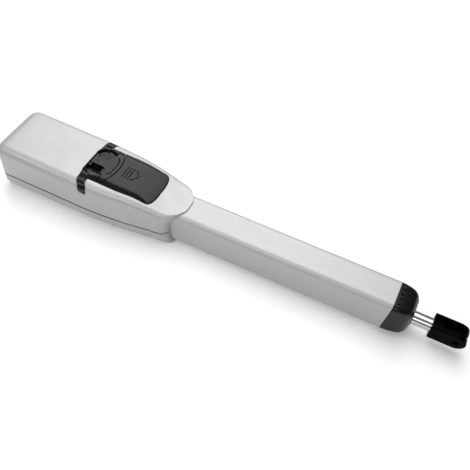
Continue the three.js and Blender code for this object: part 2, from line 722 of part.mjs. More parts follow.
function slideCover() {
  const nose = prismY(
    polygon([
      [UNIT.end - 24, 30],
      [UNIT.end - 24, UNIT.height],
      [UNIT.end, 1.2],
      [UNIT.end + 20, 1.2],
      [UNIT.end + 20, 30],
    ]),
    60,
  );
  const { x0, x1 } = GUIDE;
  const guide = box(x0, x1, -4, 4, -8, 4).add(box(x0, x1, -8, 8, -8, -5));
  return hump(slideOutline(), GAP, UNIT.height)
    .subtract(nose)
    .subtract(box(30, 104, -20, 20, -1, 3.6))
    .add(guide);
}

const lockSleeve = () =>
  cylZ(-LOCK.deep, -GAP, LOCK.sleeve, LOCK.x, 0).subtract(
    cylZ(-LOCK.deep - 1, 1, LOCK.r + GAP, LOCK.x, 0),
  );

const lockBarrel = () =>
  cylZ(1 - LOCK.deep, 2, LOCK.r, LOCK.x, 0).subtract(
    box(LOCK.x - 5, LOCK.x + 5, -0.8, 0.8, -4, 3),
  );

function shiftBar() {
  const grooveX = CLUTCH.face + 4;
  const slot = CLUTCH.grooveR + GAP;
  const yoke = box(grooveX + GAP, grooveX + 6 - GAP, -17, 17, AXIS_Z - 3, 36).subtract(
    box(grooveX - 1, grooveX + 8, -slot, slot, AXIS_Z - 4, AXIS_Z),
  );
  return box(162.2, grooveX + 5.5, -5, 5, 32, 36)
    .add(box(162.2, 165, -5, 5, 32, 39))
    .add(yoke.subtract(cylX(grooveX - 1, grooveX + 8, slot)));
}

// ---- assembly -----------------------------------------------------------------------------
const group = new THREE.Group();

function node(name, shape, finish) {
  const mesh = new THREE.Mesh(geometryOf(shape), finish);
  mesh.name = name;
  group.add(mesh);
}

node("upper_cover", upperCover(), SILVER);
node("lower_shell", lowerShell(), SILVER);
node("seam_gasket", seamGasket(), RUBBER);
SCREW_PLACES.forEach(([x, y], i) => node(`cover_screw_${i + 1}`, coverScrew(x, y), ZINC));
node("rear_mount_block", mountBlock(), ZINC);
node("rear_mount_bush", mountBush(), STEEL);
node("cable_gland", cableGland(), BLACK);
node("gland_nut", glandNut(), BLACK);

node("motor_can", motorCan(), STEEL);
node("motor_rear_bell", rearBell(), ZINC);
node("gearhead_case", gearheadCase(), ZINC);
node("magnet_upper", magnet(1), GREY_PLASTIC);
node("magnet_lower", magnet(-1), GREY_PLASTIC);
node("motor_bearing_rear", motorBearing(58), STEEL);
node("motor_bearing_front", motorBearing(MOTOR.end + 1), STEEL);
node("terminal_block", terminalBlock(), GREY_PLASTIC);
node("encoder_board", encoderBoard(), BOARD);
node("gear_plate", gearPlate(), ZINC);
node("tube_carrier", tubeCarrier(), ZINC);
node("screw_bearing", screwBearing(), STEEL);

node("tube", tube(), ANODISED);
node("front_cap", frontCap(), BLACK);
node("rod_bush", rodBush(), BRONZE);
node("rod_wiper", wiperSeal(), RUBBER);
CAP_SCREWS.forEach((x, i) => node(`cap_screw_${i + 1}`, capScrew(x), ZINC));

node("release_frame", releaseFrame(), BLACK);
node("lever_pin", leverPin(), STEEL);
node("lock_sleeve", onLid(lockSleeve()), BLACK);

node("motor_shaft", motorShaft(), STEEL);
node("rotor_core", rotorCore(), COPPER);
node("commutator", commutator(), COPPER);
node("encoder_disc", encoderDisc(), GREY_PLASTIC);
node("drive_pinion", drivePinion(), STEEL);
node("main_gear", mainGear(), STEEL);
node("gear_bush", gearBush(), BRONZE);
node("clutch_dog", clutchDog(), STEEL);
node("shift_bar", shiftBar(), ZINC);
node("lead_screw", leadScrew(), STEEL);
node("drive_nut", driveNut(), BRONZE);
node("rod", rodTube(), CHROME);
node("rod_pin", rodPinAt(7, 10.2, 1.5), STEEL);
node("fork", fork(), BLACK);

node("release_lever", onLid(releaseLever()), BLACK);
node("slide_cover", onLid(slideCover()), BLACK);
node("lock_barrel", onLid(lockBarrel()), ZINC);

group.position.set(-LENGTH / 2, 0, -BASE_Z);
export default group;
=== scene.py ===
# Linear screw actuator for a swing gate: silver housing, release unit, square tube, rod and fork.
# Lengths are millimetres in the design frame: X counts from the rear wall towards the fork, Y is
# to the left seen from behind, and Z counts up from the middle of the tube. to_row() turns them
# into the row frame, in metres.
import math

import bmesh
import bpy
import numpy as np
from mathutils import Matrix, Vector


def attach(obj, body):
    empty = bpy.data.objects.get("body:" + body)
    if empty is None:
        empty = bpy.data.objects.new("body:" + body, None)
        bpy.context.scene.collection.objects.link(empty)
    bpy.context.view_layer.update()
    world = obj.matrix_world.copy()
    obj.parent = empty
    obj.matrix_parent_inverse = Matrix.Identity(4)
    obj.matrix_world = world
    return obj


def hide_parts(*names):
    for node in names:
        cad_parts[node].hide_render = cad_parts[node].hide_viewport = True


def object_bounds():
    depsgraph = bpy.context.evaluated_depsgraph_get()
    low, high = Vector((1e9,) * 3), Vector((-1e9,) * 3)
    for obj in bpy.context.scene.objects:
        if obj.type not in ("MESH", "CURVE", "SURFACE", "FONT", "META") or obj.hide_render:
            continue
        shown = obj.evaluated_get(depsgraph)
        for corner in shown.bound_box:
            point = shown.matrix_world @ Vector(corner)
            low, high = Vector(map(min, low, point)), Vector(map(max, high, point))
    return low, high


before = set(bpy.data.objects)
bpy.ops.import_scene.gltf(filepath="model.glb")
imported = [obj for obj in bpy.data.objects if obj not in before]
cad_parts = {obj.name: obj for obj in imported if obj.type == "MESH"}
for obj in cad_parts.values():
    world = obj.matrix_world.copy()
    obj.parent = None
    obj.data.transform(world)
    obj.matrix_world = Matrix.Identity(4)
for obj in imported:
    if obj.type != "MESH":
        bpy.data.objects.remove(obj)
cad_box = [list(corner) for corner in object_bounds()]

# ---- driving dimensions ---------------------------------------------------------------------
MM = 0.001
GAP = 0.3
LENGTH = 775.0
BASE_Z = -36.0
AXIS_Z = -6.0

HALF, HOUSING_END, WALL = 54.4, 310.7, 3.2
SEAM_LOW, SEAM_HIGH, SEAM_SLOPE, SEAM_AT = -7.1, -4.1, 0.0185, 100.0
PLAN_R, REAR_R, TOP_R, FLOOR_R = 20.0, 22.0, 14.0, 19.0
REAR_BULGE = 1.5
TOP_HEIGHT, TOP_AT, TOP_SLOPE = 49.9, 100.0, 0.0285
NOSE_FROM, NOSE_FULL, NOSE_NARROW, NOSE_ROUND = 150.0, 281.0, 12.6, 31.0
SEAM_BLUNT = 3.4
NOSE_DROP, NOSE_DROP_FROM, NOSE_DROP_FULL, NOSE_LIP, NOSE_SWEEP = 9.5, 236.0, 290.0, 2.0, 18.5

TUBE_START, TUBE_END, TUBE_RAKE = 240.0, 659.2, 0.095
TUBE_HALF_W, TUBE_HALF_H, TUBE_R, TUBE_WALL = 26.7, 32.4, 9.0, 3.0
CAP_END = TUBE_END + TUBE_RAKE * TUBE_HALF_H + 31.0
ROD_R, ROD_START, ROD_END = 10.5, 322.3, 736.5
FORK_START, FORK_HUB, FORK_HALF_W, FORK_HALF_H = 722.0, 738.0, 13.5, 14.3
FORK_SLOT, FORK_HOLE_R = 4.5, 5.0
FORK_HOLE_X = LENGTH - FORK_HALF_H

UNIT_X, UNIT_HALF, UNIT_TOP_HALF, UNIT_HEIGHT, UNIT_END = 152.0, 37.2, 28.0, 5.4, 128.5
ARC_X, ARC_R = 52.5, 66.0
SPINE, PLATE_X, HINGE_X, PIN_END = 8.0, 34.5, 7.0, 13.2
LEVER_REAR, CORNER_R = HINGE_X - 2.4, 9.0
STRAP_BOTTOM = 30.0
STRAP_LEVELS = (STRAP_BOTTOM, 43.0, 49.0)
STRAP_REAR, STRAP_FRONT = (163.0, 161.0, 155.0), (174.0, 173.5, 168.0)
MOUTH_GAP, MOUTH_END, HOLLOW_END = 1.1, 345.0, 284.0
GASKET_END, GASKET_INSET = 240.0, 0.6


# ---- mesh tools -----------------------------------------------------------------------------
def to_row(points):
    return (np.asarray(points, float) - (0, 0, BASE_Z)) * MM + (cad_box[0][0], 0, cad_box[0][2])


def shade(obj, angle=35.0):
    obj.data.shade_smooth()
    obj.data.set_sharp_from_angle(angle=math.radians(angle))


def new_object(name, vertices, faces, angle=35.0):
    mesh = bpy.data.meshes.new(name)
    mesh.from_pydata(to_row(vertices).tolist(), [], faces)
    work = bmesh.new()
    work.from_mesh(mesh)
    bmesh.ops.remove_doubles(work, verts=work.verts, dist=1e-6)
    bmesh.ops.recalc_face_normals(work, faces=work.faces)
    work.to_mesh(mesh)
    work.free()
    obj = bpy.data.objects.new(name, mesh)
    bpy.context.scene.collection.objects.link(obj)
    shade(obj, angle)
    return obj


def skin(name, rings, joined=False, angle=35.0):
    """Closed skin over rings of equally many points, capped at both ends or joined into a loop."""
    rings = np.asarray(rings, float)
    count, around = rings.shape[:2]
    index = np.arange(count * around).reshape(count, around).tolist()
    faces = []
    for i in range(count if joined else count - 1):
        near, far = index[i], index[(i + 1) % count]
        for j in range(around):
            k = (j + 1) % around
            faces.append((near[j], near[k], far[k], far[j]))
    if not joined:
        faces += [tuple(reversed(index[0])), tuple(index[-1])]
    return new_object(name, rings.reshape(-1, 3), faces, angle)


def cut(obj, *tools, operation="DIFFERENCE", angle=35.0):
    for tool in tools:
        modifier = obj.modifiers.new("cut", "BOOLEAN")
        modifier.operation = operation
        modifier.solver = "EXACT"
        modifier.object = tool
    depsgraph = bpy.context.evaluated_depsgraph_get()
    mesh = bpy.data.meshes.new_from_object(obj.evaluated_get(depsgraph))
    obj.modifiers.clear()
    obj.data = mesh
    for tool in tools:
        bpy.data.objects.remove(tool)
    shade(obj, angle)
    return obj


def join(first, *others):
    work = bmesh.new()
    for piece in (first, *others):
        work.from_mesh(piece.data)
    work.to_mesh(first.data)
    work.free()
    for piece in others:
        bpy.data.objects.remove(piece)
    shade(first)
    return first


def block(name, x0, x1, y0, y1, z0, z1, edge=0.0, place=None):
    """Box with chamfered long edges, for cutting and for small blocks."""
    rings = []
    for x, inset in ((x0, edge), (x0 + edge, 0), (x1 - edge, 0), (x1, edge)):
        ring = rounded_rect(y0 + inset, y1 - inset, z0 + inset, z1 - inset, edge, 3)
        rings.append([(x, y, z) for y, z in ring])
    rings = np.asarray(rings if edge else [rings[0], rings[3]], float)
    return skin(name, place(rings) if place else rings)


def rounded_rect(y0, y1, z0, z1, radius, steps=12):
    corners = [(y1, z0, -90), (y1, z1, 0), (y0, z1, 90), (y0, z0, 180)]
    points = []
    for y, z, start in corners:
        cy = y - math.copysign(radius, y - (y0 + y1) / 2)
        cz = z - math.copysign(radius, z - (z0 + z1) / 2)
        for step in range(steps + 1 if radius else 1):
            angle = math.radians(start + 90 * step / steps)
            points.append((cy + radius * math.cos(angle), cz + radius * math.sin(angle)))
    return points


def turned(name, profile, sides=96, joined=False, y=0.0, z=AXIS_Z):
    """Solid of revolution about an axis along X; profile is a list of (x, r)."""
    angles = np.linspace(0, 2 * math.pi, sides, endpoint=False)
    rings = [
        np.stack([np.full(sides, x), y + r * np.cos(angles), z + r * np.sin(angles)], -1)
        for x, r in profile
    ]
    return skin(name, rings, joined)


def upright(name, x, y, z0, z1, radius, sides=48, place=None):
    angles = np.linspace(0, 2 * math.pi, sides, endpoint=False)
    rings = [
        np.stack([x + radius * np.cos(angles), y + radius * np.sin(angles), np.full(sides, z)], -1)
        for z in (z0, z1)
    ]
    rings = np.asarray(rings)
    return skin(name, place(rings) if place else rings)


def across(name, x, z, half, radius, sides=64, rounding=0.0):
    angles = np.linspace(0, 2 * math.pi, sides, endpoint=False)
    profile = [(-half, radius - rounding), (-half + rounding, radius)]
    profile += [(half - rounding, radius), (half, radius - rounding)]
    rings = [
        np.stack([x + r * np.cos(angles), np.full(sides, y), z + r * np.sin(angles)], -1)
        for y, r in profile
    ]
    return skin(name, rings)


# ---- outline of the housing -----------------------------------------------------------------
def smooth(t):
    t = np.clip(t, 0.0, 1.0)
    return t * t * (3 - 2 * t)


def round_off(distance, radius):
    short = radius - np.clip(distance, 0.0, radius)
    return radius - np.sqrt(radius**2 - short**2)


def top_plane(x):
    return TOP_HEIGHT - TOP_SLOPE * (x - TOP_AT)


def half_width(x, bluntness=2.0):
    """Half width along the housing; the nose is blunter at the seam than on the lid."""
    taper = np.clip((x - NOSE_FROM) / (NOSE_FULL - NOSE_FROM), 0, 1) ** 2
    tip = np.clip((x - HOUSING_END + NOSE_ROUND) / NOSE_ROUND, 0, 0.997)
    side = HALF - NOSE_NARROW * taper - REAR_BULGE * round_off(x, PLAN_R)
    return side * (1 - tip**bluntness) ** (1 / bluntness)


def top_height(x):
    run = smooth((x - NOSE_DROP_FROM) / (NOSE_DROP_FULL - NOSE_DROP_FROM))
    lip = round_off(HOUSING_END - x, NOSE_LIP)
    return top_plane(x) - round_off(x, REAR_R) - NOSE_DROP * run - lip


def swept(x, z):
    """The nose runs further forward above and below than at the sides of the tube."""
    ramp = smooth((x - 230.0) / (HOUSING_END - 230.0))
    up = NOSE_SWEEP * (np.maximum(0, z + 5.0) / 38.0) ** 2
    down = 8.0 * (np.maximum(0, -14.0 - z) / 20.0) ** 2
    return x + ramp * (up + down)


def stations(inset=0.0, fine=True):
    quarter = np.linspace(0, math.pi / 2, 20 if fine else 6)
    rear = inset + PLAN_R * (1 - np.cos(quarter))
    nose = HOUSING_END - inset - NOSE_ROUND * (1 - np.cos(quarter[::-1]))
    last = HOUSING_END - inset - NOSE_LIP * (1 - np.cos(quarter[::-1][1:]))
    middle = [np.linspace(30, 148, 12), np.linspace(149, 184, 60), np.linspace(188, 284, 16)]
    if not fine:
        middle = [np.linspace(40, 280, 6)]
    return np.unique(np.concatenate([rear, *middle, nose, last]))


def seam(x, level):
    return level - SEAM_SLOPE * (x - SEAM_AT)


def upper_point(x, u, v, inset=0.0):
    """Point of the upper skin for section coordinates u (across) and v (up from the seam)."""
    low = seam(x, SEAM_HIGH)
    share = v / (TOP_HEIGHT - SEAM_HIGH)
    bluntness = SEAM_BLUNT + (2.0 - SEAM_BLUNT) * np.clip(share, 0, 1)
    y = u / HALF * (half_width(x, bluntness) - inset)
    z = low + share * (top_height(x) - inset - low)
    return np.stack([swept(x, z), y, z], -1)


def lid_fall(x):
    """How far the lid lies under its own plane at a distance along the housing."""
    span = np.linspace(30.0, HOUSING_END, 300)
    height = top_height(span)
    along = swept(span, height)
    return np.interp(x, along, height - top_plane(along))


def upper_section():
    tall = TOP_HEIGHT - SEAM_HIGH
    rise = np.concatenate([np.linspace(0, 30, 9)[:-1], np.linspace(30, tall - TOP_R, 12)[:-1]])
    arc = np.linspace(0, math.pi / 2, 22)
    flank = np.linspace(HALF - TOP_R, 26, 14)[1:]
    u = np.concatenate([np.full(len(rise), HALF), HALF - TOP_R * (1 - np.cos(arc)), flank])
    v = np.concatenate([rise, tall - TOP_R * (1 - np.sin(arc)), np.full(len(flank), tall)])
    middle = np.linspace(26, -26, 11)[1:-1]
    u = np.concatenate([u, middle, -u[::-1]])
    v = np.concatenate([v, np.full(len(middle), tall), v[::-1]])
    return u, v


def strap_edges(z):
    """Rear and front X of the strap's zone at a height: it swings forward over the rounded edge."""
    return np.interp(z, STRAP_LEVELS, STRAP_REAR), np.interp(z, STRAP_LEVELS, STRAP_FRONT)


def groove(x, y, z):
    """Share of the strap groove's depth at a point of the upper skin."""
    rear, front = strap_edges(z)
    along = smooth((x - rear + 1.0) / 0.8) * smooth((front + 2.6 - x) / 2.4)
    low = smooth((z - STRAP_BOTTOM + 1.6) / 1.4)
    return along * low * smooth((np.abs(y) - 27.0) / 2.0)


def outward(points):
    """Unit normals of a grid of points, from its two directions."""
    one, two = np.gradient(points, axis=0), np.gradient(points, axis=1)
    normal = np.cross(two, one)
    size = np.linalg.norm(normal, axis=-1, keepdims=True)
    return normal / np.maximum(size, 1e-9)


def lid_frame(points):
    """From the release unit's own frame, which runs along the sloping lid."""
    tilt = math.atan(TOP_SLOPE)
    p = np.asarray(points, float)
    x, y, z = p[..., 0], p[..., 1], p[..., 2]
    along = x * math.cos(tilt) + z * math.sin(tilt) + UNIT_X
    height = z * math.cos(tilt) - x * math.sin(tilt) + top_plane(UNIT_X)
    return np.stack([along, y, height], -1)


def tube_section(grow=0.0, steps=12):
    return rounded_rect(
        -TUBE_HALF_W - grow,
        TUBE_HALF_W + grow,
        -TUBE_HALF_H - grow,
        TUBE_HALF_H + grow,
        TUBE_R + grow,
        steps,
    )


def tube_block(name, grow, x0, x1):
    section = tube_section(grow)
    return skin(name, [[(x, y, z) for y, z in section] for x in (x0, x1)])


# ---- housing --------------------------------------------------------------------------------
def upper_cover():
    u, v = upper_section()
    x, uu = np.meshgrid(stations(), u, indexing="ij")
    vv = np.broadcast_to(v, x.shape)
    outside = upper_point(x, uu, vv)
    depth = 2.5 * groove(outside[..., 0], outside[..., 1], outside[..., 2])
    outside = outside - depth[..., None] * outward(outside)
    cover = skin("upper_cover_shell", outside)

    x, uu = np.meshgrid(stations(WALL, fine=False), u[::3], indexing="ij")
    x = np.minimum(x, HOLLOW_END)
    vv = np.broadcast_to(v[::3], x.shape)
    inside = upper_point(x, uu, vv, WALL)
    inside[..., 2] -= np.where(vv == 0, 3.0, 0.0)
    hollow = skin("cover_hollow", inside)
    frame_hole = block("frame_hole", 1.5, ARC_X - 14, -31, 31, -16, 3, place=lid_frame)
    lock_hole = upright("lock_hole", 61, 0, -16, 4, 10.8, place=lid_frame)
    guide_slot = block("guide_slot", 72, 118, -4.5, 4.5, -16, 3, place=lid_frame)
    tube_hole = tube_block("tube_hole", MOUTH_GAP, TUBE_START - 2, MOUTH_END)
    return cut(cover, hollow, tube_hole, frame_hole, lock_hole, guide_slot)


def lower_shell():
    deep = SEAM_LOW - BASE_Z
    side = np.linspace(0, deep - FLOOR_R, 8)[:-1]
    arc = np.linspace(0, math.pi / 2, 20)
    u = np.concatenate([np.full(len(side), HALF), HALF - FLOOR_R * (1 - np.cos(arc))])
    v = -np.concatenate([side, deep - FLOOR_R * (1 - np.sin(arc))])
    u, v = np.concatenate([u, -u[::-1]]), np.concatenate([v, v[::-1]])

    def surface(inset, fine, lift):
        x, uu = np.meshgrid(stations(inset, fine), u, indexing="ij")
        if inset:
            x = np.minimum(x, HOLLOW_END)
        vv = np.broadcast_to(v, x.shape)
        floor = BASE_Z + inset + round_off(x, 16.0) + round_off(HOUSING_END - x, 8.0)
        y = uu / HALF * (half_width(x, SEAM_BLUNT) - inset)
        high = seam(x, SEAM_LOW)
        z = high + vv / deep * (high - floor) + np.where(vv == 0, lift, 0.0)
        return np.stack([swept(x, z), y, z], -1)

    shell = skin("lower_shell_skin", surface(0.0, True, 0.0))
    tools = [skin("shell_hollow", surface(WALL, False, 3.0))]
    tools.append(tube_block("tube_hole", MOUTH_GAP, TUBE_START - 2, MOUTH_END))
    tools.append(block("mount_hole", 11.7, 50.3, -20.3, 20.3, BASE_Z - 2, BASE_Z + 8))
    tools.append(upright("gland_hole", 84, -28, BASE_Z - 2, -26, 11))
    for x, y in ((26, 36), (26, -36), (214, 43), (214, -43)):
        tools.append(upright("screw_hole", x, y, BASE_Z - 2, BASE_Z + 8.3, 4.4))
    return cut(shell, *tools)


def seam_gasket():
    """Dark seal in the seam behind the nose, set back a little from both halves of the housing."""
    rings = []
    for x in np.unique(np.clip(stations(0.8), 0, GASKET_END)):
        side = half_width(x, SEAM_BLUNT) - GASKET_INSET
        low, high = seam(x, SEAM_LOW) + 0.1, seam(x, SEAM_HIGH) - 0.1
        section = ((-side, low), (side, low), (side, high), (-side, high))
        rings.append([(x, y, z) for y, z in section])
    band = skin("seam_gasket", rings)
    hollow = block("gasket_hollow", WALL, GASKET_END + 5, -HALF + WALL + 1, HALF - WALL - 1, -16, 6)
    return cut(band, hollow)


def tube():
    section = np.asarray(tube_section(0.0, 16))
    inner = np.asarray(tube_section(-TUBE_WALL, 16))
    chamfer = np.asarray(tube_section(-0.5, 16))

    def ring(x, outline, rake=0.0):
        return np.stack([x + rake * outline[:, 1], outline[:, 0], outline[:, 1]], -1)

    stops = np.linspace(TUBE_START, TUBE_END - 8, 12)
    rings = [ring(x, section) for x in stops]
    rings += [ring(TUBE_END - 0.6, section, TUBE_RAKE), ring(TUBE_END, chamfer, TUBE_RAKE)]
    rings += [ring(TUBE_END, inner, TUBE_RAKE), ring(TUBE_START, inner)]
    return skin("tube_profile", rings, joined=True)


def front_cap():
    """Blunt moulded cap: its rear follows the raked end of the tube, its front is rounded."""
    section = np.asarray(tube_section(0.0, 14))
    y, z = section[:, 0], section[:, 1]
    start = TUBE_END + GAP + TUBE_RAKE * z
    rings = []
    for share in np.concatenate([np.linspace(0, 0.6, 14), np.linspace(0.62, 1, 26)]):
        x = start + share * (CAP_END - start)
        run = np.clip((x - TUBE_END) / (CAP_END - TUBE_END), 0, 1)
        wide = 1 - 0.16 * run**1.6 - 0.32 * run**8
        tall = 1 - 0.14 * run**1.8 - 0.28 * run**7
        rings.append(np.stack([x, y * wide, z * tall], -1))
    cap = skin("front_cap_shell", rings, angle=45)
    tools = []
    for i in range(5):
        middle = (i - 2) * 9
        tools.append(
            block("notch", TUBE_END + 6.5, TUBE_END + 10.5, middle - 2.2, middle + 2.2, 30, 36)
        )
    tools.append(turned("cap_bore", [(640, ROD_R + 0.5), (CAP_END + 3, ROD_R + 0.5)]))
    tools.append(turned("wiper_seat", [(CAP_END - 4, 13.8), (CAP_END + 3, 13.8)]))
    return cut(cap, *tools, angle=40)


def wiper():
    profile = [(CAP_END - 3.8, 13.5), (CAP_END + 0.4, 13.5), (CAP_END + 1, 12.9)]
    profile += [(CAP_END + 0.6, 11.6), (CAP_END + 1.2, 10.9), (CAP_END - 3.8, 10.8)]
    return turned("wiper_lip", profile, joined=True)


def rod():
    profile = [(ROD_START, 7.2), (ROD_START, ROD_R), (ROD_END - 1, ROD_R), (ROD_END, ROD_R - 1)]
    profile += [(ROD_END, 0.5), (702, 0.5), (698, 7.2)]
    return turned("rod_chrome", profile, joined=True)


def fork():
    arc = np.linspace(-math.pi / 2, math.pi / 2, 40)
    outline = [(FORK_START, -FORK_HALF_H)]
    outline += [
        (FORK_HOLE_X + FORK_HALF_H * math.cos(a), FORK_HALF_H * math.sin(a)) for a in arc
    ]
    outline.append((FORK_START, FORK_HALF_H))
    middle_x = (FORK_START + FORK_HOLE_X) / 2
    rings = []
    for y, inset in ((-1, 1.0), (-1 + 0.06, 0.3), (-1 + 0.1, 0), (0.9, 0), (0.94, 0.3), (1, 1.0)):
        ring = []
        for x, z in outline:
            shrink = 1 - inset / FORK_HALF_H
            ring.append((middle_x + (x - middle_x) * shrink, y * FORK_HALF_W, AXIS_Z + z * shrink))
        rings.append(ring)
    head = skin("fork_head", rings, angle=40)
    bore = turned("fork_bore", [(FORK_START - 5, ROD_R + 0.2), (FORK_HUB - 1, ROD_R + 0.2)])
    slot = block("fork_slot_cut", FORK_HUB, LENGTH + 5, -FORK_SLOT, FORK_SLOT, -30, 20)
    hole = across("fork_hole", FORK_HOLE_X, AXIS_Z, 20, FORK_HOLE_R)
    top = AXIS_Z + FORK_HALF_H
    low = AXIS_Z - FORK_HALF_H
    rear, front = FORK_START - 5, FORK_HUB + 1
    grooves = [
        block("groove", rear, front, -FORK_SLOT, FORK_SLOT, z0, z1)
        for z0, z1 in ((top - 1.6, top + 5), (low - 5, low + 1.6))
    ]
    return cut(head, bore, slot, hole, *grooves, angle=30)


# ---- release unit ---------------------------------------------------------------------------
def soft_min(a, b, blend):
    h = np.clip(0.5 + 0.5 * (b - a) / blend, 0, 1)
    return b * (1 - h) + a * h - blend * h * (1 - h)


def flank(inside, blend=1.6):
    """Height over the lid at a distance inside the unit's outline: a slope, then the flat top."""
    slope = (UNIT_HEIGHT - 0.6) / (UNIT_HALF - UNIT_TOP_HALF)
    return soft_min(0.6 + slope * inside, np.full_like(inside, UNIT_HEIGHT), blend)


def arc_edge(y):
    """Where the lever's plate ends and the key cover begins: an arc across the unit."""
    return ARC_X - ARC_R + np.sqrt(ARC_R**2 - y**2)


def relief(name, x, y, top, under, angle=35.0, bend=None):
    """Solid with a grid of heights as its top, flat below, in the lid's frame; bend lowers both."""
    rows, columns = x.shape
    if bend is not None:
        top = top + bend(x)
    points = np.stack([x, y, top], -1).reshape(-1, 3)
    index = np.arange(rows * columns).reshape(rows, columns)
    faces = []
    for i in range(rows - 1):
        a, b = index[i].tolist(), index[i + 1].tolist()
        for j in range(columns - 1):
            faces.append((a[j], a[j + 1], b[j + 1], b[j]))
    sides = [index[0, :-1], index[:-1, -1], index[-1, :0:-1], index[:0:-1, 0]]
    rim = np.concatenate(sides).tolist()
    base = rows * columns
    skirt = points[rim]
    skirt[:, 2] = under + (bend(skirt[:, 0]) if bend is not None else 0.0)
    count = len(rim)
    for i in range(count):
        k = (i + 1) % count
        faces.append((rim[i], rim[k], base + k, base + i))
    faces.append(tuple(base + i for i in range(count)))
    return new_object(name, lid_frame(np.concatenate([points, skirt])), faces, angle)


def spread(*stops):
    """Numbers between stops, given as (value, steps to the next value)."""
    parts = [
        np.linspace(stops[i][0], stops[i + 1][0], stops[i][1], endpoint=False)
        for i in range(len(stops) - 1)
    ]
    return np.concatenate([*parts, [stops[-1][0]]])


def segment_distance(x, y, x0, y0, x1, y1):
    dx, dy = x1 - x0, y1 - y0
    t = np.clip(((x - x0) * dx + (y - y0) * dy) / (dx * dx + dy * dy), 0, 1)
    return np.hypot(x - x0 - t * dx, y - y0 - t * dy)


def engraved(distance, half, depth, soft=0.35):
    return depth * smooth((half + soft - distance) / (2 * soft))


def slide_cover():
    left_half = ((-1, 10), (-0.94, 10), (-0.6, 10), (-0.35, 50))
    t = spread(*left_half, (0.35, 10), (0.6, 10), (0.94, 10), (1, 0))
    s = spread((0, 8), (0.02, 12), (0.14, 76), (0.52, 20), (0.85, 14), (1, 0))
    s, t = np.meshgrid(s, t, indexing="ij")
    rear = arc_edge(t * UNIT_HALF) + 0.3
    corner = 16.0 * (1 - (1 - np.clip(np.abs(t), 0, 1) ** 3.2) ** (1 / 3.2))
    front = UNIT_END - corner
    half = UNIT_HALF - 3.0 * smooth((s - 0.3) / 0.7)
    x, y = rear + s * (front - rear), t * half
    side = (1 - np.abs(t)) * half
    run = np.clip((x - 88.0) / (UNIT_END - 88.0), 0, 1)
    top = soft_min(flank(side), UNIT_HEIGHT - 4.4 * run**1.8, 0.8)
    top = top - round_off(front - x, 1.2) * 0.6 - round_off(x - rear, 0.8)
    top = top - round_off(side, 0.6) * 0.6
    for middle in (63.9, 69.1, 74.3):
        top -= engraved(segment_distance(x, y, middle, -11, middle, 11), 0.8, 1.2)
    for sign in (-1, 1):
        top -= engraved(segment_distance(x, y, 79.2, sign * 10.7, 87.4, 0), 0.8, 1.2)
    lid = relief("slide_lid", x, y, top, GAP, bend=lambda along: lid_fall(along + UNIT_X))
    pocket = block("pocket", 30, 90, -20, 20, -1, 3.2, place=lid_frame)
    lid = cut(lid, pocket)
    runner = block("runner", 72.5, 88, -4, 4, -8, 4, 0.4, place=lid_frame)
    foot = block("foot", 72.5, 88, -8, 8, -8, -5, 0.4, place=lid_frame)
    return join(lid, runner, foot)


def lever_outline():
    """Pairs of x and half width: the spine, a hollow corner each side, then the wide plate."""
    turn = np.linspace(0, math.pi / 2, 14)
    start = PLATE_X - CORNER_R
    along = spread((LEVER_REAR, 8), (LEVER_REAR + 1.6, 30), (start, 1))
    spine = [(x, SPINE) for x in along]
    corner = [
        (start + CORNER_R * math.sin(a), SPINE + CORNER_R * (1 - math.cos(a))) for a in turn
    ]
    last = UNIT_HALF - 1
    jump = [(PLATE_X, w) for w in np.linspace(SPINE + CORNER_R, last, 8)[1:]]
    return spine + corner[1:] + jump


def release_lever():
    outline = lever_outline()
    left_half = ((-1, 8), (-0.95, 12), (-0.7, 14), (-0.42, 34))
    t = spread(*left_half, (0.42, 14), (0.7, 12), (0.95, 8), (1, 0))
    rows = [(np.full_like(t, x), t * w) for x, w in outline]
    half = UNIT_HALF - 1
    for s in spread((0, 8), (0.08, 30), (0.9, 8), (1, 0))[1:]:
        y = t * half
        rows.append((PLATE_X + s * (arc_edge(y) - 0.5 - PLATE_X), y))
    x = np.array([row[0] for row in rows])
    y = np.array([row[1] for row in rows])
    edge = arc_edge(np.clip(y, -UNIT_HALF, UNIT_HALF)) - 0.5
    centre_x, centre_y = PLATE_X - CORNER_R, SPINE + CORNER_R
    hollow = np.hypot(x - centre_x, np.abs(y) - centre_y)
    in_corner = (x > centre_x) & (np.abs(y) < centre_y)
    inside = np.where(x >= PLATE_X, x - PLATE_X, SPINE - np.abs(y))
    inside = np.where(in_corner, np.maximum(hollow - CORNER_R, 0), np.maximum(inside, 0))
    top = flank(UNIT_HALF - np.abs(y))
    top = top - round_off(inside, 1.0) - round_off(edge - x, 0.8)
    top = top - round_off(x - LEVER_REAR, 2.0)
    ring = np.abs(np.hypot((x - 15.2) / 1.25, y) - 1.7)
    top = top + engraved(ring, 0.35, 0.35, 0.3)
    arc = np.abs(np.hypot(x - (ARC_X - ARC_R), y) - (ARC_R - 6.0))
    ends = np.maximum(0, np.abs(y) - 14)
    top = top - engraved(np.hypot(arc, ends), 0.9, 1.2)
    for sign in (-1, 1):
        tick = segment_distance(x, y, 44.7, sign * 14, 40.5, sign * 18.5)
        top = top - engraved(tick, 0.6, 1.0)
    arm = relief("lever_arm", x, y, top, GAP)
    leg = block("lever_leg", HINGE_X - 2, HINGE_X + 2, -2.5, 2.5, -12.5, 3, 0.5, place=lid_frame)
    return join(arm, leg)


def scoop(x, y):
    """How far inside a finger scoop a point lies; negative outside. The corners are rounded."""
    y = np.abs(y)
    oblique = 0.7 * (15.8 + 1.02 * x - y)
    planes = [x - 4.2, y - SPINE - GAP + 1.5, 32.2 - 0.33 * (x - 16.5) - y, oblique]
    inside = planes[0]
    for plane in planes[1:]:
        inside = soft_min(inside, plane, 3.5)
    return inside


